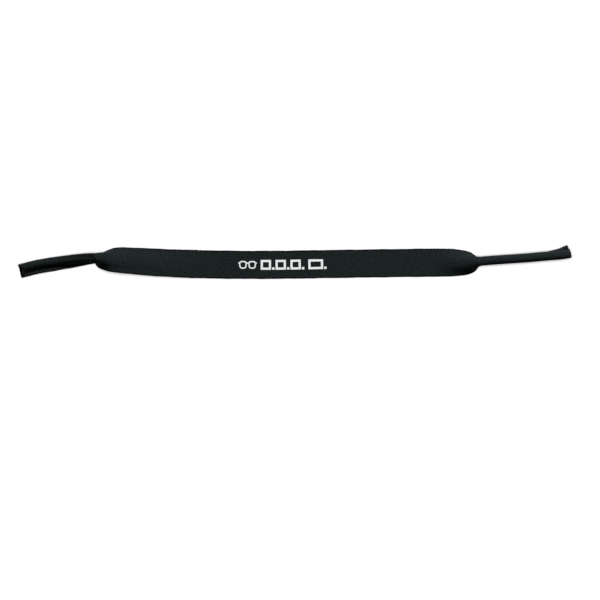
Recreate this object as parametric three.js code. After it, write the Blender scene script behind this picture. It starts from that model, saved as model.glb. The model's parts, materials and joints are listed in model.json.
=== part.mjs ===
// Eyeglass retainer strap: one straight strip of lined foam rubber, laid out at full length.
// Each end is folded in half lengthwise and overlocked along its raw edges, which makes a
// sleeve for the tip of a spectacle temple. Millimetres, +X along the strap, +Z up from the
// surface that it lies on.
import * as THREE from 'three';

// ---------------------------------------------------------------- driving sizes
const LENGTH = 394;         // from one sleeve mouth to the other, along X
const WIDTH = 20;           // width of the cut strip
const THICK = 2.0;          // the whole laminate
const JERSEY = 0.27;        // one face of knitted cloth
const LEFT_SEAM = 54.0;     // overlocked length of the left sleeve
const RIGHT_SEAM = 63.2;    // overlocked length of the right sleeve
const FOLD_RADIUS = 2.25;   // of the laminate's middle, round the fold
const THREAD = 0.24;        // thickness of a flattened bed of overlock thread
const BITE = 2.1;           // from the raw edge to the row of needle thread
const INK = 0.08;           // raised print

// ---------------------------------------------------------------- clearances
const BOND = 0.04;          // between bonded layers
const FLEX = 1.0;           // slit at a flex line, room for the two ends to tilt
const TWIST_GAP = 0.3;      // slit where one length of tube turns on the next
const SEAM_GAP = 0.05;      // half the space between the two walls that are sewn together
const LIFT = 0.12;          // thread and ink above the cloth

// ---------------------------------------------------------------- derived sizes
const S = LENGTH / 394;
const HALF = WIDTH / 2;
const MOUTH_L = -196.2 * S;
const MOUTH_R = 195.6 * S;
const SEAM_L = MOUTH_L + LEFT_SEAM;     // where each seam begins, at the notch of the neck
const SEAM_R = MOUTH_R - RIGHT_SEAM;
const PINCH = 0.7;                      // how far the seam squeezes the laminate
const FLARE = 34 * Math.PI / 180;       // how far the tube's walls lean in, towards the seam
const TURN = 1.5;                       // radius of the bend from the tube's wall into the fin
const FIN_X = PINCH * THICK / 2 + SEAM_GAP;
const WALL = (FOLD_RADIUS * Math.cos(FLARE) - TURN * (1 - Math.cos(FLARE)) - FIN_X)
  / Math.sin(FLARE);
const U1 = FOLD_RADIUS * (Math.PI / 2 + FLARE);   // the fold ends
const U2 = U1 + WALL;                             // the straight wall ends
const U3 = U2 + TURN * FLARE;                     // the fin begins
const STRETCH = (SEAM_R - SEAM_L) / 274.6;
const BED = THICK / 2 + LIFT / PINCH;             // the thread's two faces, out from the middle
const BED_TOP = BED + THREAD / PINCH;

// A smooth line through [station, value] pairs.
function through(points) {
  const n = points.length;
  const slope = points.map((p, i) => {
    const a = points[Math.max(i - 1, 0)], b = points[Math.min(i + 1, n - 1)];
    return (b[1] - a[1]) / (b[0] - a[0]);
  });
  return (x) => {
    let i = 0;
    while (i < n - 2 && x > points[i + 1][0]) i++;
    const h = points[i + 1][0] - points[i][0];
    const t = Math.min(Math.max((x - points[i][0]) / h, 0), 1);
    const a = points[i][1], b = points[i + 1][1];
    return a * (1 + 2 * t) * (1 - t) ** 2 + b * t * t * (3 - 2 * t)
      + h * t * (1 - t) * (slope[i] * (1 - t) - slope[i + 1] * t);
  };
}

// Y of the strip's middle line: the strap lies in a slight S, with both ends rising.
const middle = through([[-196.8, -2.4], [-182.7, 1.05], [-165.6, 3.55], [-150, 4.6],
  [-138, 4.05], [-120, 1.9], [-89, -0.4], [-60, -1.4], [-20, -1.7], [25, -1.1], [82, -0.3],
  [112, -0.1], [121, -0.3], [126.5, -0.05], [131, 0.65], [137, 1.25], [160, 2.8], [168, 3.3],
  [176, 3.7], [184, 3.8], [190, 3.85], [195.6, 4.3]].map(([x, y]) => [x * S, y * S]));

// How far the strip is folded, 0 flat to 1 sewn shut. Stations are millimetres into the band
// from each seam's start.
const foldLeft = through([[0, 1], [3, 0.73], [6, 0.58], [9, 0.46], [14, 0.29], [22, 0.19],
  [50, 0.09], [88, 0]]);
const foldRight = through([[0, 1], [1.5, 0.9], [3.3, 0.73], [6, 0.56], [9, 0.45], [12, 0.37],
  [15, 0.32], [22, 0.18], [29, 0.07], [37, 0]]);
function fold(x) {
  if (x <= SEAM_L || x >= SEAM_R) return 1;
  return Math.min(Math.max(x < 0 ? foldLeft((x - SEAM_L) / STRETCH)
    : foldRight((SEAM_R - x) / STRETCH), 0), 1);
}

// How far the section is turned about X, in degrees. At zero the fold faces up.
const rollLeft = through([[-54, -86], [-36, -84], [-22, -70], [-10, -47], [0, -28], [8, -21],
  [22, -17], [50, -11], [88, 0]]);
const rollRight = through([[0, 0], [34, 3], [43, 12], [50, 24], [55, 35], [58.5, 46],
  [63.2, 64]]);
const roll = (x) => Math.PI / 180 * (x < 0 ? (x > SEAM_L + 88 ? 0
  : rollLeft(x < SEAM_L ? (x - SEAM_L) * 54 / LEFT_SEAM : x - SEAM_L))
  : (x < SEAM_R ? 0 : rollRight((x - SEAM_R) * 63.2 / RIGHT_SEAM)));

// Angle of the folded strip's middle line at a distance u from the fold's crest.
function bend(u) {
  const full = Math.PI / 2 + FLARE;
  if (u < U1) return u / FOLD_RADIUS;
  if (u < U2) return full;
  return u < U3 ? full - (u - U2) / TURN : Math.PI / 2;
}

// The section at a station: at(u, n) gives [y, z] of the point u across the strip and n out
// from its middle surface, before and after the section is rolled and rested on the floor.
const sections = new Map();
function section(x) {
  if (sections.has(x)) return sections.get(x);
  const g = fold(x), STEP = 0.05, line = [[0, 0, 0]];
  for (let i = 1; i <= Math.round(HALF / STEP); i++) {
    const a = g * bend((i - 0.5) * STEP), [y, z] = line[i - 1];
    line.push([y + Math.cos(a) * STEP, z - Math.sin(a) * STEP, g * bend(i * STEP)]);
  }
  const squeeze = (u) => 1 - (1 - PINCH) * Math.min(Math.max((g - 0.85) / 0.15, 0), 1)
    * Math.min(Math.max((u - U1 - 0.6) / 1.2, 0), 1);
  const flat = (u, n) => {
    const v = Math.min(Math.abs(u), HALF), i = Math.round(v / STEP), side = u < 0 ? -1 : 1;
    const [y, z, a] = line[i], m = n * squeeze(v), over = Math.abs(u) - v;
    return [side * (y + Math.sin(a) * m + Math.cos(a) * over),
      z + Math.cos(a) * m - Math.sin(a) * over];
  };
  const c = Math.cos(roll(x)), s = Math.sin(roll(x));
  const turned = ([y, z]) => [y * c - z * s, y * s + z * c];
  let low = Infinity;
  for (let u = -HALF; u <= HALF; u += 0.25)
    for (const n of [-THICK / 2, THICK / 2]) low = Math.min(low, turned(flat(u, n))[1]);
  if (x < SEAM_L + 1e-6 || x > SEAM_R - 1e-6)
    for (const u of [HALF - BITE, HALF + LIFT + THREAD])
      for (const side of [-1, 1]) low = Math.min(low, turned(flat(side * u, BED_TOP))[1]);
  const place = (p) => { const [y, z] = turned(p); return [y, z - low]; };
  const made = { at: (u, n) => place(flat(u, n)), flat, place };
  sections.set(x, made);
  return made;
}

// The strap's own frame at a station: a point on the middle line, and its direction.
function frame(x) {
  const a = Math.max(x - 0.5, MOUTH_L), b = Math.min(x + 0.5, MOUTH_R);
  const slope = (middle(b) - middle(a)) / (b - a);
  const k = 1 / Math.hypot(1, slope);
  return { x, y: middle(x), tx: k, ty: slope * k };
}

// A closed solid through a run of stations. ribbon(section) gives the two long sides of the
// cross-section as equal lists of [y, z]. An end may be rounded about a swing axis.
function loft(name, stations, ribbon, material, rounded = {}) {
  const pos = [], idx = [];
  let m = 0;
  stations.forEach((x, i) => {
    const [over, under] = ribbon(section(x));
    const f = frame(x), ring = [...over, ...under.slice().reverse()];
    m = over.length;
    const cap = i === 0 ? rounded.start : i === stations.length - 1 ? rounded.end : null;
    for (const [y, z] of ring) {
      const d = cap ? cap.sign * (cap.r - Math.sqrt(cap.r ** 2 - (y - cap.y) ** 2)) : 0;
      pos.push(f.x - y * f.ty + d * f.tx, f.y + y * f.tx + d * f.ty, z);
    }
  });
  const w = 2 * m, last = (stations.length - 1) * w;
  for (let i = 0; i < stations.length - 1; i++)
    for (let j = 0; j < w; j++) {
      const a = i * w + j, b = i * w + (j + 1) % w;
      if (j < m) idx.push(a, a + w, b, b, a + w, b + w);
      else idx.push(a, a + w, b + w, a, b + w, b);   // the same diagonals as the other side's
    }
  for (let j = 0; j < m - 1; j++) {
    const k = w - 1 - j;
    idx.push(j, j + 1, k, k, j + 1, k - 1);
    idx.push(last + j, last + k, last + j + 1, last + k, last + k - 1, last + j + 1);
  }
  const geometry = new THREE.BufferGeometry();
  geometry.setAttribute('position', new THREE.Float32BufferAttribute(pos, 3));
  geometry.setIndex(idx);
  geometry.computeVertexNormals();
  const mesh = new THREE.Mesh(geometry, material);
  mesh.name = name;
  return mesh;
}

// ---------------------------------------------------------------- materials
const cloth = (name, colour) => new THREE.MeshStandardMaterial(
  { name, color: colour, roughness: 0.95, metalness: 0 });
const OUTER = cloth('outer_jersey', 0x1d2323);
const CORE = cloth('foam_core', 0x14171a);
const INNER = cloth('inner_jersey', 0x2b3238);
const GREY = cloth('overlock_thread', 0x6a6f72);
const WHITE = new THREE.MeshStandardMaterial({ name: 'ink', color: 0xe9ecec, roughness: 0.6 });

const strap = new THREE.Group();
strap.name = 'eyeglass_retainer_strap';

// Stations across the strip: two on a flat stretch, closer together round a fold.
const halfFold = [U1 / 4, U1 / 2, 0.75 * U1, U1, U2, (U2 + U3) / 2, U3, HALF - BITE, HALF]
  .sort((a, b) => a - b);
const FOLDED = [...halfFold.slice().reverse().map((u) => -u), 0, ...halfFold];
const CURLED = [-HALF, -U2, -U1, -U1 / 2, 0, U1 / 2, U1, U2, HALF];
const FLAT = [-HALF, HALF];

const CLOTH_OUT = THICK / 2, CLOTH_IN = THICK / 2 - JERSEY;
const LAYERS = [['outer_jersey', CLOTH_OUT, CLOTH_IN, OUTER],
  ['foam_core', CLOTH_IN - BOND, -CLOTH_IN + BOND, CORE],
  ['inner_jersey', -CLOTH_IN, -CLOTH_OUT, INNER]];

function panel(body, stations, across, rounded) {
  for (const [layer, hi, lo, material] of LAYERS)
    strap.add(loft(`${layer}_${body}`, stations, (s) => [across.map((u) => s.at(u, hi)),
      across.map((u) => s.at(u, lo))], material, rounded));
}

// The three threads of an overlocked edge: the needle's row along the fin, and two loopers
// that cover one face of the fin each and meet over its raw edge.
function overlock(body, stations, rounded) {
  strap.add(loft(`needle_thread_${body}`, stations, (s) => [
    [s.at(HALF - BITE - 0.5, BED_TOP), s.at(HALF - BITE - 0.1, BED_TOP)],
    [s.at(HALF - BITE - 0.5, BED), s.at(HALF - BITE - 0.1, BED)]], GREY, rounded));
  for (const [looper, side] of [['front', 1], ['back', -1]]) {
    const bed = (s, n, over, mid) => {
      const [, z] = s.flat(HALF + over, n), at = (u) => s.at(side * u, n);
      const tip = s.place([side * mid, z]);
      return side > 0 ? [at(HALF - BITE), at(HALF + over), tip]
        : [tip, at(HALF + over), at(HALF - BITE)];
    };
    strap.add(loft(`looper_thread_${looper}_${body}`, stations, (s) => [
      bed(s, BED_TOP, LIFT + THREAD, LIFT), bed(s, BED, LIFT, LIFT)], GREY, rounded));
  }
}

const span = (a, b, n) => Array.from({ length: n + 1 }, (_, i) => a + (b - a) * i / n);

// ---------------------------------------------------------------- flex lines and tube joints
const CENTRE = SEAM_L + (SEAM_R - SEAM_L) * 0.487;
const BAND_L = SEAM_L + 21, BAND_R = SEAM_R - 21;       // where each shoulder begins
const flexL = [0.15, 0.435, 0.72, 1].map((t) => CENTRE + (BAND_L - CENTRE) * t);
const flexR = [0.14, 0.428, 0.715, 1].map((t) => CENTRE + (BAND_R - CENTRE) * t);
const h = FLEX / 2, q = TWIST_GAP / 2;
const SWING_R = 5.6;                    // radius of the rounded end at each neck
const neckL = SEAM_L - 6.4, neckR = SEAM_R + 6.4;
const tubeL = neckL - 9, tubeR = neckR + 9;
const lateral = (x) => {
  const ys = FOLDED.flatMap((u) => [section(x).at(u, THICK / 2)[0]]);
  return (Math.min(...ys) + Math.max(...ys)) / 2;
};
const capL = { r: SWING_R, y: lateral(neckL), sign: 1 };
const capR = { r: SWING_R, y: lateral(neckR), sign: -1 };

panel('nape', span(flexL[0] + h, flexR[0] - h, 3), FLAT);
for (let i = 0; i < 3; i++) {
  const curl = i === 2 || i === 1;
  panel(`left_band_${i + 1}`, span(flexL[i + 1] + h, flexL[i] - h, curl ? 4 : 3),
    curl ? CURLED : FLAT);
  panel(`right_band_${i + 1}`, span(flexR[i] + h, flexR[i + 1] - h, 3),
    i === 2 ? CURLED : FLAT);
}
panel('left_shoulder', [neckL + q, SEAM_L - 3, SEAM_L, SEAM_L + 0.8,
  ...[3, 6, 9, 14].map((d) => SEAM_L + d), flexL[3] - h], FOLDED, { start: capL });
panel('right_shoulder', [flexR[3] + h, ...[15, 10, 6, 3].map((d) => SEAM_R - d), SEAM_R - 0.8,
  SEAM_R, SEAM_R + 3, neckR - q], FOLDED, { end: capR });
panel('left_neck', [tubeL + q, tubeL + 3, neckL - 3, neckL - q], FOLDED, { end: capL });
panel('right_neck', [neckR + q, neckR + 4, tubeR - q], FOLDED, { start: capR });
const ROLLING = 28.6 * RIGHT_SEAM / 63.2;   // the length next to the right mouth that turns over
const tubeRows = [...span(tubeR + q, MOUTH_R - ROLLING, 2),
  ...span(MOUTH_R - ROLLING, MOUTH_R, 10).slice(1)];
panel('left_sleeve', span(MOUTH_L, tubeL - q, 6), FOLDED);
panel('right_sleeve', tubeRows, FOLDED);

overlock('left_shoulder', [neckL + q, SEAM_L - 3, SEAM_L], { start: capL });
overlock('right_shoulder', [SEAM_R, SEAM_R + 3, neckR - q], { end: capR });
overlock('left_neck', [tubeL + q, tubeL + 3, neckL - 3, neckL - q], { end: capL });
overlock('right_neck', [neckR + q, neckR + 4, tubeR - q], { start: capR });
overlock('left_sleeve', span(MOUTH_L, tubeL - q, 6));
overlock('right_sleeve', tubeRows);

// ---------------------------------------------------------------- print
// A plain pair of spectacles and a row of open blocks, centred on the band's outer face.
// Each is on one body only, so none crosses a flex line.
const ink = (name, shape, x) => {
  const g = new THREE.ExtrudeGeometry(shape, { depth: INK, bevelEnabled: false,
    curveSegments: 5 });
  const f = frame(x);
  g.rotateZ(Math.atan2(f.ty, f.tx));
  g.translate(x, f.y, THICK + LIFT);
  const mesh = new THREE.Mesh(g, WHITE);
  mesh.name = name;
  strap.add(mesh);
};
const outline = (points) => points.map(([x, y]) => new THREE.Vector2(x, y));
const LENS = 0.15 * WIDTH, EYE = 0.18 * WIDTH, RIM = 0.035 * WIDTH;
const half = [[EYE - LENS, 0.35 * LENS], [EYE - LENS, -0.3 * LENS],
  [EYE - 0.6 * LENS, -0.9 * LENS], [EYE + 0.6 * LENS, -0.9 * LENS], [EYE + LENS, -0.5 * LENS],
  [EYE + LENS, 0.9 * LENS]];
const glasses = new THREE.Shape(outline([...half,
  ...half.slice().reverse().map(([x, y]) => [-x, y])]));
for (const side of [-1, 1]) {
  const a = LENS - RIM, b = 0.9 * LENS - RIM;
  glasses.holes.push(new THREE.Path(outline([[-a, -b / 2], [-a / 2, -b], [a / 2, -b],
    [a, -b / 2], [a, b], [-a, b]].map(([x, y]) => [side * EYE + x, y]))));
}

// Plain blocks with a window, each followed by a square stop, on one thin rule.
const TALL = 0.35 * WIDTH, LINE = 0.078 * WIDTH, STOP = 0.085 * WIDTH, SPACE = 0.0375 * WIDTH;
const RULE = 0.015 * WIDTH, CUT = 0.03 * WIDTH;   // the rule's height, a window's cut corner
function blocks(width, count) {
  const pitch = width / count, wide = pitch - STOP - 2 * SPACE, low = -TALL / 2;
  const edge = [[-width / 2, low]], holes = [];
  const raise = (x0, x1, foot, high) => edge.push([x0, foot], [x0, high], [x1, high], [x1, foot]);
  for (let i = 0, x = -width / 2; i < count; i++, x += pitch) {
    raise(x, x + wide, low + RULE, -low);
    raise(x + wide + SPACE, x + wide + SPACE + STOP, low + 1.3 * RULE, low + STOP);
    const a = x + LINE, b = x + wide - LINE, c = low + LINE;
    holes.push([[a, c + CUT], [a + CUT, c], [b - CUT, c], [b, c + CUT], [b, -c - CUT],
      [b - CUT, -c], [a + CUT, -c], [a, -c - CUT]]);
  }
  edge.splice(1, 1);
  edge.push([width / 2, low + RULE], [width / 2, low]);
  const shape = new THREE.Shape(outline(edge.reverse()));
  shape.holes = holes.map((hole) => new THREE.Path(outline(hole)));
  return shape;
}
const NAPE_W = flexR[0] - flexL[0] - FLEX - 1;
ink('print_spectacles', glasses, flexL[0] - 0.42 * WIDTH);
ink('print_blocks_long', blocks(NAPE_W, 3), (flexL[0] + flexR[0]) / 2);
ink('print_blocks_short', blocks(0.68 * WIDTH, 1), flexR[0] + FLEX / 2 + 0.38 * WIDTH);

// Stand the finished strap on the floor, with X and Y zero at the middle of its outline.
const box = new THREE.Box3().setFromObject(strap);
const shift = new THREE.Vector3(-(box.min.x + box.max.x) / 2, -(box.min.y + box.max.y) / 2,
  -box.min.z);
for (const mesh of strap.children) mesh.geometry.translate(shift.x, shift.y, shift.z);

export default strap;
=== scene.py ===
"""Eyeglass retainer strap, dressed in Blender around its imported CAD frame.

A strip of lined foam rubber lies at full length. Its ends are folded in half and overlocked
into sleeves. Every layer, thread and print mark is built on one surface, which says where a
point of the flat strip lies, so the pieces fit each other wherever the strip folds.
"""

import json
import math

import bmesh
import bpy
import numpy as np
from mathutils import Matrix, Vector


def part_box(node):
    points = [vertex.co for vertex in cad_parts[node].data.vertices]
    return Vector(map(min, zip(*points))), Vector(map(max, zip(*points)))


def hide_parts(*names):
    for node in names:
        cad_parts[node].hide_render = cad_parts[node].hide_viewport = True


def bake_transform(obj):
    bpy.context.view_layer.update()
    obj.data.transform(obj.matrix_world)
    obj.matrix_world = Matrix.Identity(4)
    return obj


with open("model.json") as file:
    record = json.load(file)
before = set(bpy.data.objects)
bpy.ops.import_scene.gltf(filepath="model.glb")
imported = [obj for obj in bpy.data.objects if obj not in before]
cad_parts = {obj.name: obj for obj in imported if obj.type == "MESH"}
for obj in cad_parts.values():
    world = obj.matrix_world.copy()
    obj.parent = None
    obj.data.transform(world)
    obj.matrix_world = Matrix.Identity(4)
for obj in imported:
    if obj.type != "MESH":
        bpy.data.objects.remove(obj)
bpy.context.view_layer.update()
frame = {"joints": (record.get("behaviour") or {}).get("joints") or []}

bl_info = {
    "name": "Eyeglass Retainer Strap",
    "version": (1, 0, 0),
    "blender": (4, 5, 0),
    "location": "View3D > Sidebar > Strap",
    "description": "Builds the cloth, foam, seams and print of a spectacle strap",
    "category": "Object",
}

# ------------------------------------------------------------------ the strip's own sizes, mm
MM = 0.001                # one millimetre in the frame's metres
WIDTH = 20.0              # of the cut strip
THICK = 2.0               # of the whole laminate
JERSEY = 0.27             # each knitted face
BOND = 0.04               # glue line between a jersey and the foam
LEFT_SEAM = 54.0          # length of each sewn sleeve
RIGHT_SEAM = 63.2
FOLD_RADIUS = 2.25        # the laminate's middle, round the crest of a sleeve
SEAM_GAP = 0.05           # from the fin's middle to the inner face of each of its plies
BITE = 2.1                # from the raw edges to the needle's row
PINCH = 0.7               # share of its thickness that the laminate keeps under the stitches
FLARE = math.radians(34)  # how far past upright the fold's walls lean inwards
TURN = 1.5                # radius of the bend from each wall into the fin

HALF = WIDTH / 2
MOUTH_L, MOUTH_R = -196.2, 195.6
SEAM_L, SEAM_R = MOUTH_L + LEFT_SEAM, MOUTH_R - RIGHT_SEAM
FIN_X = PINCH * THICK / 2 + SEAM_GAP
WALL = (FOLD_RADIUS * math.cos(FLARE) - TURN * (1 - math.cos(FLARE)) - FIN_X) / math.sin(FLARE)
# How far from the crest the round part ends, then the straight wall, then the turn.
U1 = FOLD_RADIUS * (math.pi / 2 + FLARE)
U2 = U1 + WALL
U3 = U2 + TURN * FLARE
THREAD_BED = 0.42         # room for the stitches under a seam that lies down
PEEK = 1.0                # how far the ply underneath sticks out past the other one
SHOULDER = 21.0           # from a seam's start to the last flex of the band
MIDDLE_SHARE = 0.487      # place of the nape between the two seams
FIRST_HINGE = 0.15        # place of the first flex between the nape and the last one
SIDES = ("left", "right")


def smooth(t):
    """The smooth step from 0 to 1."""
    t = np.clip(t, 0, 1)
    return t * t * (3 - 2 * t)


def through(points):
    """A smooth line through (station, value) pairs."""
    x, y = (np.array(c, float) for c in zip(*points))
    i = np.arange(len(x))
    a, b = np.maximum(i - 1, 0), np.minimum(i + 1, len(x) - 1)
    slope = (y[b] - y[a]) / (x[b] - x[a])

    def line(at):
        k = int(np.clip(np.searchsorted(x, at) - 1, 0, len(x) - 2))
        h = x[k + 1] - x[k]
        t = min(max((at - x[k]) / h, 0), 1)
        return (y[k] * (1 + 2 * t) * (1 - t) ** 2 + y[k + 1] * t * t * (3 - 2 * t)
                + h * t * (1 - t) * (slope[k] * (1 - t) - slope[k + 1] * t))

    return line


# Y of the strip's middle line, how far it is folded, and how far the fold is turned over.
middle = through([(-196.8, -2.4), (-182.7, 1.05), (-165.6, 3.55), (-150, 4.6), (-138, 4.05),
                  (-120, 1.9), (-89, -0.4), (-60, -1.4), (-20, -1.7), (25, -1.1), (82, -0.3),
                  (112, -0.1), (121, -0.3), (126.5, -0.05), (131, 0.65), (137, 1.25),
                  (160, 2.8), (168, 3.3), (176, 3.7), (184, 3.8), (190, 3.85), (195.6, 4.3)])
fold_left = through([(0, 1), (3, 0.73), (6, 0.58), (9, 0.46), (14, 0.29), (22, 0.19), (50, 0.09),
                     (88, 0)])
fold_right = through([(0, 1), (1.5, 0.9), (3.3, 0.73), (6, 0.56), (9, 0.45), (12, 0.37),
                      (15, 0.32), (22, 0.18), (29, 0.07), (37, 0)])
roll_left = through([(-54, -86), (-36, -84), (-22, -70), (-10, -47), (0, -28), (8, -21),
                     (22, -17), (50, -11), (88, 0)])
roll_right = through([(0, 0), (34, 3), (43, 12), (50, 24), (55, 35), (58.5, 46), (63.2, 64)])


def fold(x):
    """0 where the strip is flat, 1 where its edges are sewn together."""
    if x <= SEAM_L or x >= SEAM_R:
        return 1.0
    return min(max(fold_left(x - SEAM_L) if x < 0 else fold_right(SEAM_R - x), 0), 1)


def roll(x):
    """Turn of the section about the strap's length. At zero the fold's crest faces up."""
    if x < 0:
        return math.radians(roll_left(x - SEAM_L)) if x < SEAM_L + 88 else 0.0
    return math.radians(roll_right(x - SEAM_R)) if x > SEAM_R else 0.0


# Stations across half of the strip, from its crest to its raw edge.
STEP = 0.05
U_GRID = np.linspace(0, HALF, int(round(HALF / STEP)) + 1)


def bend(u):
    """Angle of the fully folded strip at a distance u from the crest."""
    full = math.pi / 2 + FLARE
    return np.where(u < U1, u / FOLD_RADIUS, np.where(
        u < U2, full, np.where(u < U3, full - (u - U2) / TURN, math.pi / 2)))


CUT_REACH = 9.0           # how far inwards the rows follow a mouth's cut
UPPER_BACK = 2.1          # how far the left mouth's upper half stops short on its inner face
BEVEL = 0.9               # how much shorter it gets for each millimetre outwards
LOWER_OUT = 0.8           # how far the left mouth's lower half sticks out
CREST_OUT = 0.9           # how far the right mouth's crest sticks out
CREST_FALL = 0.18         # how much of that is lost for each millimetre away from the crest


def cut_shift(x, u, n):
    """How far along the strap a mouth's slanting cut lies from its station; none further in.

    The left mouth is cut on a slant: its upper half stops short of its lower half and shows
    the foam. The right mouth is longest at its crest.
    """
    to_left, to_right = x - MOUTH_L, MOUTH_R - x
    near = float(smooth((CUT_REACH - min(to_left, to_right)) / CUT_REACH))
    if near == 0:
        return 0.0
    if to_left < to_right:
        upper = smooth((-0.3 - u) / 3) * (1 - 0.45 * smooth((-u - 5) / 4.5))
        return near * (upper * (UPPER_BACK + BEVEL * (n + 1)) - LOWER_OUT)
    return near * (CREST_OUT - CREST_FALL * abs(u))


class Section:
    """The strip's cross-section at one station along it."""

    made = {}

    def __init__(self, x):
        g = fold(x)
        a = g * bend(U_GRID[:-1] + STEP / 2)
        self.y = np.concatenate([[0], np.cumsum(np.cos(a) * STEP)])
        self.z = np.concatenate([[0], -np.cumsum(np.sin(a) * STEP)])
        self.a = g * bend(U_GRID)
        self.tight = float(smooth((g - 0.85) / 0.15))
        self.c, self.s = math.cos(roll(x)), math.sin(roll(x))
        before, after = max(x - 0.5, MOUTH_L), min(x + 0.5, MOUTH_R)
        slope = (middle(after) - middle(before)) / (after - before)
        self.t = np.array([1, slope]) / math.hypot(1, slope)
        self.x = x
        self.ripple = 1 + 0.006 * math.sin(0.23 * x) + 0.004 * math.sin(0.51 * x + 1)
        self.low = 0.0
        across = np.linspace(-HALF, HALF, 81)
        low = min(self.rolled(*self.flat(across, n))[1].min() for n in (-THICK / 2, THICK / 2))
        bed = np.array([-HALF - THREAD_BED, -HALF + BITE, HALF - BITE, HALF + THREAD_BED])
        threads = self.rolled(*self.flat(bed, THICK / 2, THREAD_BED))[1].min()
        sewn = smooth(1 - max(min(x - SEAM_L, SEAM_R - x), 0) / 4)
        self.low = low + min(threads - low, 0) * float(sewn)

    def flat(self, u, n, lift=0.0):
        """Section coordinates of the point u across and n out, before it is turned."""
        u = np.asarray(u, float)
        v, side = np.minimum(abs(u), HALF), np.where(u < 0, -1.0, 1.0)
        y, z, a = (np.interp(v, U_GRID, c) for c in (self.y, self.z, self.a))
        y = y * self.ripple
        squeeze = 1 - (1 - PINCH) * self.tight * smooth((v - U1 - 0.6) / 1.2)
        m, over = np.asarray(n) * squeeze + lift, abs(u) - v
        return (side * (y + np.sin(a) * m + np.cos(a) * over),
                z + np.cos(a) * m - np.sin(a) * over)

    def rolled(self, y, z):
        """Section coordinates turned with the sleeve and set down on the floor."""
        return y * self.c - z * self.s, y * self.s + z * self.c - self.low

    def world(self, y, z):
        """Points of the row frame, in metres, from section coordinates."""
        y, z = self.rolled(np.asarray(y, float), np.asarray(z, float))
        p = np.stack([self.x - y * self.t[1], middle(self.x) + y * self.t[0], z], axis=-1)
        return (p + PLACE) * MM

    def at(self, u, n, lift=0.0):
        """World points of the strip, with the cut of its mouths in its last rows."""
        p = self.world(*self.flat(u, n, lift))
        shift = cut_shift(self.x, np.asarray(u, float), np.asarray(n, float)) * MM
        p[..., 0] += shift * self.t[0]
        p[..., 1] += shift * self.t[1]
        return p


# The frame's place for the strip's zero, mm. settle() fills it in.
PLACE = np.zeros(3)


def section(x):
    """The section at a station, made once."""
    x = round(float(x), 4)
    if x not in Section.made:
        Section.made[x] = Section(x)
    return Section.made[x]


def box_mm(node):
    """The two corners of a CAD node's box."""
    return tuple(np.array(c, float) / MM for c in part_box(node))


def settle():
    """Finds where the frame puts the strip's zero, from the first hinge left of the middle."""
    hinge = next(j for j in frame["joints"] if j["name"] == "left_flex_1")["pos_m"]
    middle_x = SEAM_L + (SEAM_R - SEAM_L) * MIDDLE_SHARE
    x = middle_x + (SEAM_L + SHOULDER - middle_x) * FIRST_HINGE
    PLACE[:] = hinge[0] / MM - x, hinge[1] / MM - middle(x), hinge[2] / MM - THICK / 2


settle()

# Each side's rigid bodies between the nape and the sleeve. A piece hands over to the next one
# at the middle of each.
BODIES = ["band_1", "band_2", "band_3", "shoulder", "neck"]


def centre_x(body):
    """Station of a rigid body's middle."""
    lo, hi = box_mm(f"outer_jersey_{body}")
    return (lo[0] + hi[0]) / 2 - PLACE[0]


def spans(side):
    """(joint, parent, child, from, to) for each joint, outwards from the nape, in raw X."""
    chain = ["nape"] + [f"{side}_{b}" for b in BODIES] + [f"{side}_sleeve"]
    ends = [centre_x(b) for b in chain[:-1]] + [MOUTH_L if side == "left" else MOUTH_R]
    joints = [f"{side}_flex_{i}" for i in (1, 2, 3, 4)]
    joints += [f"{side}_neck_swing", f"{side}_sleeve_twist"]
    return [(j, chain[i], chain[i + 1], ends[i], ends[i + 1]) for i, j in enumerate(joints)]


TWIST_SHARE = 0.62        # share of the way to the mouth over which a sleeve twists


def join(piece, joint, parent, child, a, b):
    """Works out the ends of the piece's span across its joint, and bakes the piece's transform;
    the piece is not bent.
    """
    pivot = next(j for j in frame["joints"] if j["name"] == joint)["pos_m"][0] / MM - PLACE[0]
    if joint.endswith("swing"):
        reach = abs(pivot - a)
        b = pivot + math.copysign(reach, b - a)
    if joint.endswith("twist"):
        b = a + TWIST_SHARE * (b - a)
    start, end = (section(v).at(0, 0) for v in (a, b))
    start[2] = end[2] = (start[2] + end[2]) / 2
    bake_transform(piece)


ROW_AT_NOTCH, ROW_FOLDED, ROW_FLAT = 0.45, 0.8, 1.8
NOTCH_REACH = 4           # rows this near to a seam's start are the closest


def stations(a, b):
    """Rows along the strap between two raw stations, closer together where it is folded."""
    lo, hi = min(a, b), max(a, b)
    rows = [lo]
    while rows[-1] < hi - 1e-6:
        x = rows[-1]
        near = min(abs(x - SEAM_L), abs(x - SEAM_R))
        step = (ROW_AT_NOTCH if near < NOTCH_REACH
                else ROW_FOLDED if fold(x) > 0.15 else ROW_FLAT)
        nxt = x + step
        for stop in (SEAM_L, SEAM_R, hi):
            if x < stop - 1e-6 < nxt + 0.35 * step:
                nxt = stop
                break
        rows.append(nxt)
    return rows


def finish_mesh(name, verts, faces, material, uv=None, angle=40):
    """An object from points in the row frame, shaded smooth up to an angle."""
    mesh = bpy.data.meshes.new(name)
    mesh.from_pydata([tuple(map(float, v)) for v in verts], [], faces)
    if uv is not None:
        layer = mesh.uv_layers.new(name="strip")
        index = np.empty(len(mesh.loops), np.int32)
        mesh.loops.foreach_get("vertex_index", index)
        layer.data.foreach_set("uv", np.asarray(uv, np.float32)[index].ravel())
    mesh.materials.append(material)
    piece = bpy.data.objects.new(name, mesh)
    bpy.context.collection.objects.link(piece)
    bpy.ops.object.select_all(action="DESELECT")
    piece.select_set(True)
    bpy.context.view_layer.objects.active = piece
    bpy.ops.object.shade_smooth_by_angle(angle=math.radians(angle), keep_sharp_edges=False)
    return piece


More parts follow.
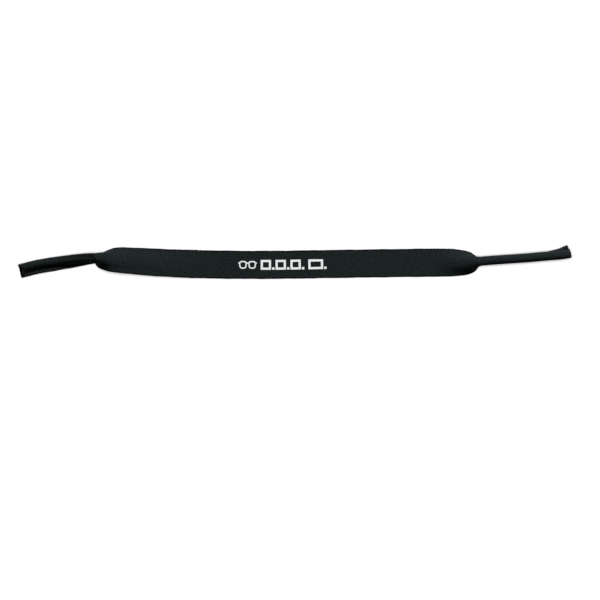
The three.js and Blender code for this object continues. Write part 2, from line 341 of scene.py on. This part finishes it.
def across_columns(count=52):
    """Stations across the strip, closer together at its cut edges."""
    inner = np.linspace(-HALF + 0.35, HALF - 0.35, count - 5)
    edge = [HALF - 0.18, HALF - 0.06, HALF]
    return np.concatenate([[-e for e in edge[::-1]], inner, edge])


def peek(x):
    """How far the ply underneath sticks out past the other one, where the seam lies down."""
    sewn = max(SEAM_L - x, x - SEAM_R)
    lying = smooth((abs(math.degrees(roll(x))) - 60) / 25)
    return PEEK * float(lying * (1 - 0.4 * smooth((sewn - 15) / 30)))


def sheet_of(name, a, b, n_out, n_in, material, soften=0.05):
    """One layer of the laminate between two stations: a closed shell with rounded cut edges."""
    rows, u = stations(a, b), across_columns()
    near_edge = np.clip((abs(u) - (HALF - 0.2)) / 0.2, 0, 1) ** 2 * soften
    top, under, uv = [], [], []
    for x in rows:
        s = section(x)
        under_ply = (u > 0) if x < 0 else (u < 0)
        past = u + peek(x) * smooth((abs(u) - 7) / 3) * np.sign(u) * under_ply
        top.append(s.at(past, n_out - near_edge))
        under.append(s.at(past, n_in + near_edge))
        uv.append(np.stack([np.full(len(u), x * MM), u * MM], axis=-1))
    r, c = len(rows), len(u)
    verts = np.concatenate([np.concatenate(top), np.concatenate(under)])
    k = lambda i, j, layer=0: layer * r * c + i * c + j
    faces = []
    for i in range(r - 1):
        for j in range(c - 1):
            faces.append((k(i, j), k(i + 1, j), k(i + 1, j + 1), k(i, j + 1)))
            faces.append((k(i, j, 1), k(i, j + 1, 1), k(i + 1, j + 1, 1), k(i + 1, j, 1)))
        for j, (p, q) in ((0, (0, 1)), (c - 1, (1, 0))):
            faces.append((k(i, j, p), k(i, j, q), k(i + 1, j, q), k(i + 1, j, p)))
    for j in range(c - 1):
        faces.append((k(0, j), k(0, j + 1), k(0, j + 1, 1), k(0, j, 1)))
        faces.append((k(r - 1, j + 1), k(r - 1, j), k(r - 1, j, 1), k(r - 1, j + 1, 1)))
    uvs = np.concatenate([np.concatenate(uv)] * 2)
    return finish_mesh(name, verts, faces, material, uvs)


# ------------------------------------------------------------------ materials
def colour(hex_value):
    """Linear RGBA of an sRGB hex colour."""
    rgb = [int(hex_value[i:i + 2], 16) / 255 for i in (0, 2, 4)]
    return (*[c / 12.92 if c <= 0.04045 else ((c + 0.055) / 1.055) ** 2.4 for c in rgb], 1.0)


def add(tree, kind, inputs=None, **settings):
    """A node with its settings, and values or links for its inputs."""
    n = tree.nodes.new(kind)
    for key, value in settings.items():
        setattr(n, key, value)
    for key, value in (inputs or {}).items():
        if isinstance(value, bpy.types.NodeSocket):
            tree.links.new(value, n.inputs[key])
        else:
            n.inputs[key].default_value = value
    return n


def material(name, shader):
    """An empty principled material: its tree and its shader node."""
    m = bpy.data.materials.new(name)
    m.use_nodes = True
    bsdf = m.node_tree.nodes["Principled BSDF"]
    for key, value in shader.items():
        bsdf.inputs[key].default_value = value
    return m, m.node_tree, bsdf


def maths(tree, operation, a, b=0.0, c=0.0):
    """The output of a maths node."""
    return add(tree, "ShaderNodeMath", {0: a, 1: b, 2: c}, operation=operation).outputs[0]


def mixed(tree, factor, a, b):
    """A colour between two others, each given as a colour or a link."""
    return add(tree, "ShaderNodeMix", {"Factor": factor, "A": a, "B": b},
               data_type="RGBA").outputs["Result"]


def ramp(tree, value, start, full, most=1.0):
    """0 up to the start, and as much as most from full on."""
    return add(tree, "ShaderNodeMapRange", {"Value": value, "From Min": start,
                                            "From Max": full, "To Max": most}
               ).outputs["Result"]


def dress(tree, bsdf, base, height, strength, depth):
    """Gives a shader its colour, and a bump of a depth in metres."""
    bump = add(tree, "ShaderNodeBump", {"Strength": strength, "Distance": depth,
                                        "Height": height})
    tree.links.new(base, bsdf.inputs["Base Color"])
    tree.links.new(bump.outputs["Normal"], bsdf.inputs["Normal"])


def strip_uv(tree):
    """Place on the flat strip, in metres; on a thread, turns along and around it."""
    return add(tree, "ShaderNodeUVMap", uv_map="strip").outputs["UV"]


def noise(tree, place, scale, **inputs):
    return add(tree, "ShaderNodeTexNoise", {"Vector": place, "Scale": scale, **inputs}
               ).outputs["Fac"]


def knit_height(tree, uv, wale, course):
    """Height of a plain knit: columns of V stitches, wale wide and course long."""
    split = add(tree, "ShaderNodeSeparateXYZ", {0: uv})
    across = maths(tree, "DIVIDE", split.outputs["Y"], wale)
    leg = maths(tree, "ABSOLUTE", maths(tree, "SUBTRACT", maths(tree, "FRACT", across), 0.5))
    along = maths(tree, "DIVIDE", split.outputs["X"], course)
    slanted = maths(tree, "ADD", along, maths(tree, "MULTIPLY", leg, 1.4))
    yarn = maths(tree, "SINE", maths(tree, "MULTIPLY", slanted, 2 * math.pi))
    ditch = maths(tree, "POWER", maths(tree, "MULTIPLY", leg, 2.0), 3.0)
    return maths(tree, "SUBTRACT", maths(tree, "MULTIPLY_ADD", yarn, 0.5, 0.5), ditch)


# Where the jersey's painted shade lies, mm: where each begins and where it is full. The first
# two are measured in from the raw edges, the notch from a seam's start, the curl from the upper
# raw edge, and the crest's shade out from the crest.
# Painted shade along the cut edges, where they turn away from the light.
EDGE_SHADE = (1.2, 0.4)
# Painted shadow on the sewn fin, which lies in the shade of the sleeve's bulge.
FIN_SHADOW = (5.6, 3.3)
# Painted shade at each neck's notch, along the edge where the strip curls under.
NOTCH = (13, 4)
CURL = (7.2, 4.2)
# Painted shade along the left sleeve's crest.
CREST_SHADE = (1.7, 0.6)
WALE, COURSE = 0.6, 0.5   # one column of loops, and one loop along it


def painted_shade_places(tree, uv):
    """Where the jersey gets painted shade: its cut edges, the sewn fin, the neck's notch, the
    left crest.
    """
    split = add(tree, "ShaderNodeSeparateXYZ", {0: uv})
    to_edge = maths(tree, "ABSOLUTE", split.outputs["Y"])
    from_middle = maths(tree, "ABSOLUTE", maths(
        tree, "SUBTRACT", split.outputs["X"], (SEAM_L + SEAM_R) / 2 * MM))
    seam_start = (SEAM_R - SEAM_L) / 2
    edge_shade, fin_shadow = (ramp(tree, to_edge, *[(HALF - m) * MM for m in margin])
                       for margin in (EDGE_SHADE, FIN_SHADOW))
    sewn = maths(tree, "GREATER_THAN", from_middle, seam_start * MM)
    notch = ramp(tree, from_middle, *[(seam_start - m) * MM for m in NOTCH])
    curl = ramp(tree, split.outputs["Y"], *[(m - HALF) * MM for m in CURL], 0.9)
    crest_shade = ramp(tree, to_edge, *[m * MM for m in CREST_SHADE], 0.75)
    left = maths(tree, "LESS_THAN", split.outputs["X"], SEAM_L * MM)
    return maths(tree, "MAXIMUM",
                 maths(tree, "MAXIMUM", edge_shade, maths(tree, "MULTIPLY", sewn, fin_shadow)),
                 maths(tree, "MAXIMUM", maths(tree, "MULTIPLY", notch, curl),
                       maths(tree, "MULTIPLY", crest_shade, left)))


def jersey(name, green, blue, light):
    """Nylon jersey: a matt knit, mottled by its loops.

    It carries painted shade: darker along its cut edges, on the sewn fin, at the notch of the
    neck, and along the left sleeve's crest.

    A real wale is about 0.3 mm; it is drawn twice as coarse so that it can show.
    """
    m, tree, bsdf = material(name, {"Roughness": 0.9, "Specular IOR Level": 0.07,
                                    "Sheen Weight": 0.02, "Sheen Roughness": 0.5})
    uv = strip_uv(tree)
    loops = knit_height(tree, uv, WALE * MM, COURSE * MM)
    mottle = noise(tree, uv, 950.0, Detail=3.0, Roughness=0.75)
    cloud = noise(tree, uv, 260.0, Detail=2.0)
    ground = mixed(tree, ramp(tree, cloud, 0.42, 0.6), colour(green), colour(blue))
    fleck = ramp(tree, maths(tree, "MULTIPLY_ADD", loops, 0.12, mottle), 0.42, 0.68)
    shade = mixed(tree, fleck, ground, colour(light))
    # The near-black 030404 is painted shade, laid wherever the mask above asks for it.
    edged = mixed(tree, painted_shade_places(tree, uv), shade, colour("030404"))
    relief = maths(tree, "MULTIPLY_ADD", mottle, 0.9, loops)
    relief = maths(tree, "MULTIPLY_ADD", cloud, 1.5, relief)
    dress(tree, bsdf, edged, relief, 0.6, 0.00012)
    return m


def foam_rubber(name):
    """Closed-cell neoprene, dull black, its cut face pitted by opened cells and lightened to
    grey as painted highlight.
    """
    m, tree, bsdf = material(name, {"Roughness": 0.92, "Specular IOR Level": 0.12})
    place = add(tree, "ShaderNodeTexCoord").outputs["Object"]
    cells = add(tree, "ShaderNodeTexVoronoi", {"Vector": place, "Scale": 3800.0}
                ).outputs["Distance"]
    dress(tree, bsdf, mixed(tree, cells, colour("3a4045"), colour("666d73")), cells, 0.7,
          0.00008)
    return m


def thread_material(name, base, dark):
    """Textured polyester thread: fine twisted fibres with a soft sheen."""
    m, tree, bsdf = material(name, {"Roughness": 0.7, "Specular IOR Level": 0.25,
                                    "Sheen Weight": 0.2, "Sheen Roughness": 0.5})
    ply = add(tree, "ShaderNodeTexWave", {"Vector": strip_uv(tree), "Scale": 1.0,
                                          "Distortion": 1.5, "Detail": 1.0},
              bands_direction="DIAGONAL").outputs["Fac"]
    dress(tree, bsdf, mixed(tree, ply, colour(dark), colour(base)), ply, 0.5, 0.00005)
    return m


def ink_material(name):
    """Screen-printed plastisol: off-white, matt, with the knit showing through as pinholes."""
    m, tree, bsdf = material(name, {"Roughness": 0.6, "Specular IOR Level": 0.3})
    grain = noise(tree, strip_uv(tree), 1400.0, Detail=2.0)
    worn = ramp(tree, grain, 0.28, 0.42)
    dress(tree, bsdf, mixed(tree, worn, colour("8b9091"), colour("f2f4f4")), grain, 0.3,
          0.00005)
    return m


def once(name, make, *colours):
    """The material of a name, made at its first use."""
    return bpy.data.materials.get(name) or make(name, *colours)


def outer_cloth():
    return once("Nylon jersey, black", jersey, "0d1212", "0d1117", "272f2f")


# Drawn near-black, darker than the lining's blue grey: painted shade for the shadowed inside of
# the mouths.
def inner_cloth():
    return once("Nylon jersey, blue grey", jersey, "080a0c", "080b0f", "14181b")


def black_thread():
    return once("Polyester thread, black", thread_material, "15191b", "0b0e0f")


# Lighter grey than the black thread: a painted highlight for the looper lying on top.
def highlight_thread():
    return once("Polyester thread, grey", thread_material, "3f4547", "1e2224")


# ------------------------------------------------------------------ settings
class StrapSettings(bpy.types.PropertyGroup):
    """What a user would change about the strap's finish."""

    stitch: bpy.props.FloatProperty(name="Stitch length", default=1.9 * MM, min=0.0005,
                                    unit="LENGTH", description="From one overlock stitch "
                                    "to the next along the seam")
    thread: bpy.props.FloatProperty(name="Thread radius", default=0.13 * MM, min=0.00002,
                                    unit="LENGTH", description="Half the thread's thickness")
    ink: bpy.props.FloatProperty(name="Ink thickness", default=0.05 * MM, min=0.00001,
                                 unit="LENGTH", description="Height of the print above the "
                                 "cloth")
    floor: bpy.props.FloatVectorProperty(name="Floor colour", subtype="COLOR", size=4, min=0,
                                         max=1, default=colour("f4f4f4"),
                                         description="Colour of the surface under the strap")


# ------------------------------------------------------------------ laminate
LAYERS = {
    "outer_jersey": (THICK / 2, THICK / 2 - JERSEY),
    "foam_core": (THICK / 2 - JERSEY - BOND, -THICK / 2 + JERSEY + BOND),
    "inner_jersey": (-THICK / 2 + JERSEY, -THICK / 2),
}


def lay(layer, make_material):
    """Builds one layer of the laminate, a piece for each joint that it crosses."""
    n_out, n_in = LAYERS[layer]
    for side in SIDES:
        for i, (joint, parent, child, a, b) in enumerate(spans(side)):
            piece = sheet_of(f"{layer.split('_')[0]}_{child}", a, b, n_out, n_in,
                             make_material())
            nodes = [f"{layer}_{child}"]
            if i == 0 and side == "left":
                nodes.append(f"{layer}_nape")
            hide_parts(*nodes)
            join(piece, joint, parent, child, a, b)


class StrapOuter(bpy.types.Operator):
    """Lay the outer jersey over the whole strap"""

    bl_idname = "strap.outer_jersey"
    bl_label = "Outer jersey"

    def execute(self, context):
        lay("outer_jersey", outer_cloth)
        return {"FINISHED"}


class StrapInner(bpy.types.Operator):
    """Lay the lining on the strap's underside and inside its sleeves"""

    bl_idname = "strap.inner_jersey"
    bl_label = "Inner jersey"

    def execute(self, context):
        lay("inner_jersey", inner_cloth)
        return {"FINISHED"}


class StrapFoam(bpy.types.Operator):
    """Fill the strap with its foam core"""

    bl_idname = "strap.foam_core"
    bl_label = "Foam core"

    def execute(self, context):
        lay("foam_core", lambda: once("Neoprene foam, cut", foam_rubber))
        return {"FINISHED"}


# ------------------------------------------------------------------ seams
THREAD_END = {"left": 1.6, "right": -1.3}   # from each mouth inwards to its last stitch


def rounded_off(path):
    """A path with its corners cut twice, for a soft bend at each."""
    p = np.asarray(path, float)
    for _ in range(2):
        q = np.empty((2 * len(p), p.shape[1]))
        q[0], q[-1] = p[0], p[-1]
        q[1:-1:2], q[2:-1:2] = 0.75 * p[:-1] + 0.25 * p[1:], 0.25 * p[:-1] + 0.75 * p[1:]
        p = q
    return p


def tube(name, path, radius, make_material, sides=7):
    """A thread along a path: a closed tube with its own turning frame."""
    p = np.asarray(path, float)
    t = np.gradient(p, axis=0)
    t /= np.linalg.norm(t, axis=1)[:, None]
    up = np.cross(t[0], (0.3, 0.5, 0.8))
    verts, uv, run = [], [], 0.0
    for i in range(len(p)):
        up = up - t[i] * (up @ t[i])
        up /= np.linalg.norm(up)
        other = np.cross(t[i], up)
        if i:
            run += np.linalg.norm(p[i] - p[i - 1])
        for k in range(sides):
            a = 2 * math.pi * k / sides
            verts.append(p[i] + radius * (math.cos(a) * up + math.sin(a) * other))
            uv.append((run / MM * 3, k / sides * 3))
    faces = []
    for i in range(len(p) - 1):
        for k in range(sides):
            a, b = i * sides + k, i * sides + (k + 1) % sides
            faces.append((a, b, b + sides, a + sides))
    faces.append(tuple(range(sides))[::-1])
    faces.append(tuple((len(p) - 1) * sides + k for k in range(sides)))
    return finish_mesh(name, verts, faces, make_material(), uv, angle=60)


def along_fin(steps):
    """World points for (station, section y, height above the raw edge) triples."""
    out = []
    for x, y, rise in steps:
        s = section(x)
        out.append(s.world(y, s.z[-1] + rise))
    return np.array(out)


def looper(x0, x1, pitch, r, face, under):
    """One looper thread: for each stitch it comes up near the needle's row, runs out over its
    face of the fin, round the raw edge and back, and goes down again. The ply underneath has
    its raw edge further out."""
    wall = FIN_X + PINCH * THICK / 2 + r * 0.8
    step = math.copysign(pitch, x1 - x0)
    path, x = [], x0
    offset = 0.0 if face > 0 else 0.5 * step
    while abs(x + step - x0) <= abs(x1 - x0) + 1e-6:
        b = x + offset
        edge = -peek(b) if under else 0.0
        for ds, y, rise in ((0.0, wall - 0.25, BITE * 0.8), (0.05, wall + 0.03, BITE * 0.68),
                            (0.11, wall + 0.05, BITE * 0.3), (0.15, wall, edge + 0.06),
                            (0.18, wall * 0.72, edge - r - 0.02), (0.21, 0.2, edge - r - 0.05),
                            (0.25, wall * 0.72, edge - r - 0.02), (0.28, wall, edge + 0.08),
                            (0.32, wall + 0.05, BITE * 0.3), (0.39, wall + 0.03, BITE * 0.68),
                            (0.45, wall - 0.25, BITE * 0.8), (0.9, wall - 0.3, BITE * 0.8)):
            at = b + ds * step
            if min(x0, x1) - 1e-6 <= at <= max(x0, x1) + 1e-6:
                path.append((at, face * y, rise))
        x += step
    return along_fin(rounded_off(path))


def needle_row(x0, x1, pitch, r):
    """The needle thread: a low dash on the cloth for each stitch, down through it between."""
    wall = FIN_X + PINCH * THICK / 2
    step = math.copysign(pitch, x1 - x0)
    path, x = [], x0
    while abs(x + step - x0) <= abs(x1 - x0) + 1e-6:
        for ds, y in ((0.0, wall - 0.18), (0.12, wall + r * 0.8), (0.5, wall + r * 1.25),
                      (0.88, wall + r * 0.8), (0.995, wall - 0.18)):
            path.append((x + ds * step, y, BITE + 0.12))
        x += step
    return along_fin(rounded_off(path))


class StrapSeams(bpy.types.Operator):
    """Overlock both folded ends with a needle thread and two loopers"""

    bl_idname = "strap.seams"
    bl_label = "Overlock seams"

    def execute(self, context):
        settings = context.scene.strap
        pitch, r = settings.stitch / MM, settings.thread / MM
        for side in SIDES:
            left = side == "left"
            # The looper on the fin's upper face takes the lighter grey thread: a painted
            # highlight.
            upper = "looper_thread_back" if left else "looper_thread_front"
            for joint, parent, child, a, b in spans(side)[4:]:
                if joint.endswith("swing"):
                    first, last, bodies = SEAM_L if left else SEAM_R, b, ["shoulder"]
                else:
                    first, last, bodies = a, b + THREAD_END[side], ["neck", "sleeve"]
                rows = {"looper_thread_front": looper(first, last, pitch, r, 1, left),
                        "looper_thread_back": looper(first, last, pitch, r, -1, not left),
                        "needle_thread": needle_row(first, last, pitch, r)}
                for kind, path in rows.items():
                    piece = tube(f"{kind.replace('_thread', '')}_stitches_{child}", path, r * MM,
                                 highlight_thread if kind == upper else black_thread)
                    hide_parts(*[f"{kind}_{side}_{body}" for body in bodies])
                    join(piece, joint, parent, child, a, b)
        return {"FINISHED"}


# ------------------------------------------------------------------ print
INK_FOOT, INK_RISE = 0.002, 0.012   # the ink's underside and its top's clearance, mm


def ink_patch(name, quads, height, make_material):
    """Closed slabs of ink from flat outlines: each quad strip is a list of (x, u) pairs."""
    verts, faces, uv = [], [], []
    for strip, closed in quads:
        n = len(strip)
        base = len(verts)
        for lift in (INK_RISE + height, INK_FOOT):
            for pair in strip:
                for x, u in pair:
                    verts.append(section(x).at(u, THICK / 2, lift))
                    uv.append((x * MM, u * MM))
        k = lambda i, j, layer: base + layer * 2 * n + 2 * (i % n) + j
        for i in range(n if closed else n - 1):
            faces.append((k(i, 0, 0), k(i + 1, 0, 0), k(i + 1, 1, 0), k(i, 1, 0)))
            faces.append((k(i, 0, 1), k(i, 1, 1), k(i + 1, 1, 1), k(i + 1, 0, 1)))
            faces.append((k(i, 0, 0), k(i, 0, 1), k(i + 1, 0, 1), k(i + 1, 0, 0)))
            faces.append((k(i, 1, 0), k(i + 1, 1, 0), k(i + 1, 1, 1), k(i, 1, 1)))
        if not closed:
            faces.append((k(0, 0, 0), k(0, 1, 0), k(0, 1, 1), k(0, 0, 1)))
            faces.append((k(n - 1, 1, 0), k(n - 1, 0, 0), k(n - 1, 0, 1), k(n - 1, 1, 1)))
    piece = finish_mesh(name, verts, faces, make_material(), uv, angle=30)
    bm = bmesh.new()
    bm.from_mesh(piece.data)
    bmesh.ops.recalc_face_normals(bm, faces=bm.faces)
    bm.to_mesh(piece.data)
    bm.free()
    return piece


def bar(x0, x1, u0, u1, step=1.2):
    """A straight bar of ink, cut every step so that it can follow the cloth."""
    n = max(2, int(abs(x1 - x0) / step) + 1)
    return [((x, u0), (x, u1)) for x in np.linspace(x0, x1, n)], False


def rim(cx, cu, w, h, thick, count=40):
    """A lens rim: a rounded frame between two outlines."""
    out = []
    for i in range(count):
        a = 2 * math.pi * i / count
        c, s = math.cos(a), math.sin(a)
        k = (abs(c) ** 3 + abs(s) ** 3) ** (-1 / 3)
        drop = 1 + 0.09 * s * k
        out.append(((cx + c * k * w * drop, cu + s * k * h),
                    (cx + c * k * (w - thick) * drop, cu + s * k * (h - thick))))
    return out, True


class StrapPrint(bpy.types.Operator):
    """Print plain spectacles and plain blocks on the outer face"""

    bl_idname = "strap.print"
    bl_label = "Print"

    def execute(self, context):
        height = context.scene.strap.ink / MM
        ink = lambda: once("Plastisol ink, white", ink_material)
        left, right = spans("left")[0], spans("right")[0]

        def place(node):
            lo, hi = box_mm(node)
            return lo[0] - PLACE[0], hi[0] - PLACE[0]

        def done(piece, span, *nodes):
            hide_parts(*nodes)
            join(piece, *span)

        x0, x1 = place("print_spectacles")
        cx, half = (x0 + x1) / 2, (x1 - x0) / 2
        stroke, w, h = WIDTH * 0.045, half * 0.41, WIDTH * 0.14
        eye, high = half * 0.5, 0.45 * h
        marks = [rim(cx + side * eye, 0, w, h, stroke) for side in (-1, 1)]
        marks.append(bar(cx - eye + 0.97 * w, cx + eye - 0.97 * w, high - stroke / 2,
                         high + stroke / 2, 0.4))
        for side in (-1, 1):
            ends = sorted((cx + side * (eye + 0.97 * w), cx + side * half))
            marks.append(bar(*ends, high - stroke / 2, high + stroke / 2, 0.4))
        done(ink_patch("print_spectacles_mark", marks, height, ink), left, "print_spectacles")

        tall, line, dot, space = (WIDTH * k for k in (0.35, 0.078, 0.085, 0.0375))
        seam, halves = left[3], {"left": [], "right": []}

        def block(x0, x1, u0, u1):
            """A bar of ink, shared out between the two halves at the middle of the nape."""
            for a, b, side in ((x0, min(x1, seam), "left"), (max(x0, seam), x1, "right")):
                if b - a > 1e-6:
                    halves[side].append(bar(a, b, u0, u1))

        for node, count in (("print_blocks_long", 3), ("print_blocks_short", 1)):
            x, end = place(node)
            pitch = (end - x) / count
            wide = pitch - dot - 2 * space
            for _ in range(count):
                top = tall / 2
                block(x, x + line, -top, top)
                block(x + wide - line, x + wide, -top, top)
                block(x + line + 0.001, x + wide - line - 0.001, top - line, top)
                block(x + line + 0.001, x + wide - line - 0.001, -top, line - top)
                block(x + wide + space, x + wide + space + dot, -top, dot - top)
                x += pitch
        done(ink_patch("print_blocks_left", halves["left"], height, ink), left,
             "print_blocks_long")
        done(ink_patch("print_blocks_right", halves["right"], height, ink), right,
             "print_blocks_short")
        return {"FINISHED"}


# ------------------------------------------------------------------ stage
# Name, place, diameter, power, and whether it lights the floor or all but the floor.
LIGHTS = (("Table light", (0.0, 0.0, 1.6), 0.9, 30.0, "floor"),
          ("Back softbox", (0.5, 0.9, 0.75), 0.5, 24.0, "strap"),
          ("Front fill", (0.0, -0.1, 1.6), 0.8, 0.9, "strap"))
CAMERA_AT = (3.6, -26.75, 1190)   # mm from the strip's zero, and above the floor


def area_light(name, at, size, power):
    """A round soft light that faces the middle of the floor."""
    data = bpy.data.lights.new(name, "AREA")
    data.shape, data.size, data.energy = "DISK", size, power
    lamp = bpy.data.objects.new(name, data)
    lamp.location = at
    lamp.rotation_euler = (Vector() - Vector(at)).to_track_quat("-Z", "Y").to_euler()
    bpy.context.collection.objects.link(lamp)
    return lamp


class StrapStage(bpy.types.Operator):
    """Put down a pale floor, soft studio light and a camera straight above"""

    bl_idname = "strap.stage"
    bl_label = "Stage"

    def execute(self, context):
        bpy.ops.object.select_all(action="DESELECT")
        bpy.ops.mesh.primitive_plane_add(size=6, location=(0, 0, -0.0002))
        floor = context.active_object
        floor.name = "floor"
        m, tree, bsdf = material("Matt white paper", {"Roughness": 0.9,
                                                      "Specular IOR Level": 0.1})
        fibre = noise(tree, add(tree, "ShaderNodeTexCoord").outputs["Object"], 900.0)
        tone = mixed(tree, fibre, context.scene.strap.floor[:], colour("fbfbfb"))
        tree.links.new(tone, bsdf.inputs["Base Color"])
        floor.data.materials.append(m)
        floor.visible_diffuse = False

        world = bpy.data.worlds.new("Soft white room")
        world.use_nodes = True
        sky = world.node_tree.nodes["Background"]
        sky.inputs["Color"].default_value = (1, 1, 1, 1)
        sky.inputs["Strength"].default_value = 0.05
        context.scene.world = world
        strap_only = bpy.data.collections.new("all but the floor")
        strap_only.objects.link(floor)
        strap_only.collection_objects[0].light_linking.link_state = "EXCLUDE"
        floor_only = bpy.data.collections.new("floor only")
        floor_only.objects.link(floor)
        for name, at, size, power, lit in LIGHTS:
            lamp = area_light(name, at, size, power)
            lamp.light_linking.receiver_collection = floor_only if lit == "floor" else strap_only

        camera = bpy.data.objects.new("camera", bpy.data.cameras.new("camera"))
        camera.data.lens, camera.data.sensor_width = 100, 36
        x, y, z = CAMERA_AT
        camera.location = ((PLACE[0] + x) * MM, (PLACE[1] + y) * MM, z * MM)
        camera.data.clip_start = 0.05
        context.collection.objects.link(camera)
        context.scene.camera = camera
        context.scene.view_settings.view_transform = "Standard"
        return {"FINISHED"}


class StrapPanel(bpy.types.Panel):
    """Strap builder"""

    bl_label = "Retainer strap"
    bl_idname = "VIEW3D_PT_strap"
    bl_space_type = "VIEW_3D"
    bl_region_type = "UI"
    bl_category = "Strap"

    def draw(self, context):
        for name in ("stitch", "thread", "ink", "floor"):
            self.layout.prop(context.scene.strap, name)
        for op in OPERATORS:
            self.layout.operator(op.bl_idname)


OPERATORS = (StrapStage, StrapOuter, StrapFoam, StrapInner, StrapSeams, StrapPrint)


def register():
    for cls in (StrapSettings, *OPERATORS, StrapPanel):
        bpy.utils.register_class(cls)
    bpy.types.Scene.strap = bpy.props.PointerProperty(type=StrapSettings)


def unregister():
    del bpy.types.Scene.strap
    for cls in (StrapPanel, *reversed(OPERATORS), StrapSettings):
        bpy.utils.unregister_class(cls)


def main():
    register()
    bpy.ops.strap.stage()
    bpy.ops.strap.foam_core()
    bpy.ops.strap.outer_jersey()
    bpy.ops.strap.inner_jersey()
    bpy.ops.strap.seams()
    bpy.ops.strap.print()


if __name__ == "__main__":
    main()
